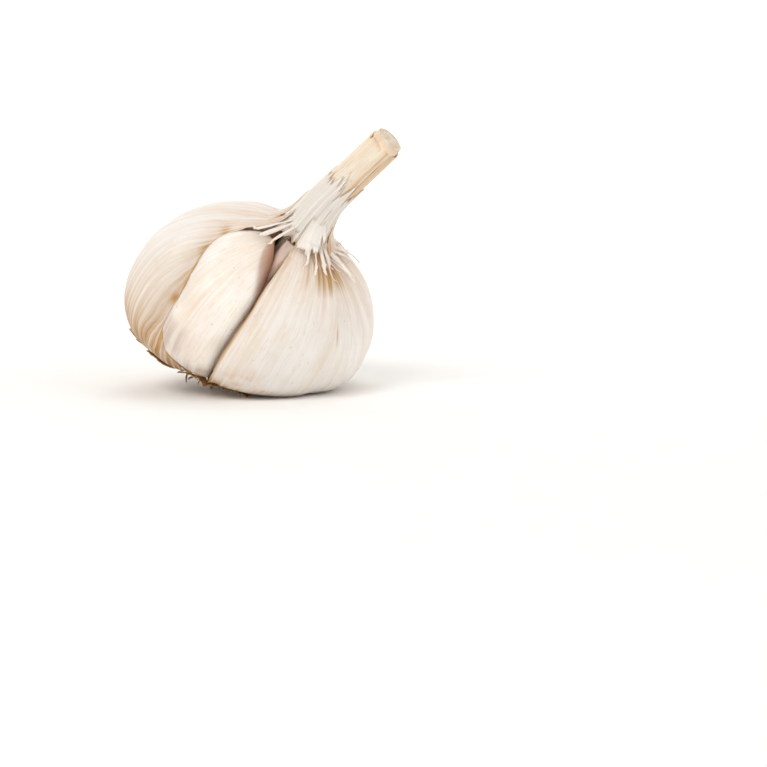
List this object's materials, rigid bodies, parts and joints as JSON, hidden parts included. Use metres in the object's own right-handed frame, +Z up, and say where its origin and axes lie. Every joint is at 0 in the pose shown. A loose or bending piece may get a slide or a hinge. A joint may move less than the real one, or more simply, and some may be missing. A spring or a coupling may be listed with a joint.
{
  "type": "garlic bulb",
  "caption": "Dried garlic bulb lying tipped over, with separate cloves round a bent stalk, a torn papery skin open along one clove, and a rooted basal plate.",
  "frame": {"origin": "centre of the bounding box at its bottom, on the surface the bulb lies on", "axes": "+Z up from the surface; the stalk points up, to +X and a little to -Y; the open seam and the bare clove face -Y, which is the front"},
  "size_m": [0.0684, 0.0604, 0.0644],
  "materials": {
    "clove": "satin clove skin, pale cream with fine length-wise fibres",
    "inner_clove": "satin clove skin, pinkish tan",
    "skin": "thin papery dried skin, off-white, satin",
    "stalk": "dry fibrous stalk, cream to tan, matte",
    "root": "dry woody plate and roots, brown, matte"
  },
  "bodies": {
    "root": {"clove_1": "clove", "clove_2": "clove", "clove_3": "clove", "clove_4": "clove", "clove_5": "clove", "clove_6": "clove", "clove_7": "clove", "clove_8": "clove", "inner_clove": "inner_clove", "stalk": "stalk", "root_plate": "root", "outer_skin": "skin", "base_skin": "skin"}
  },
  "joints": []
}
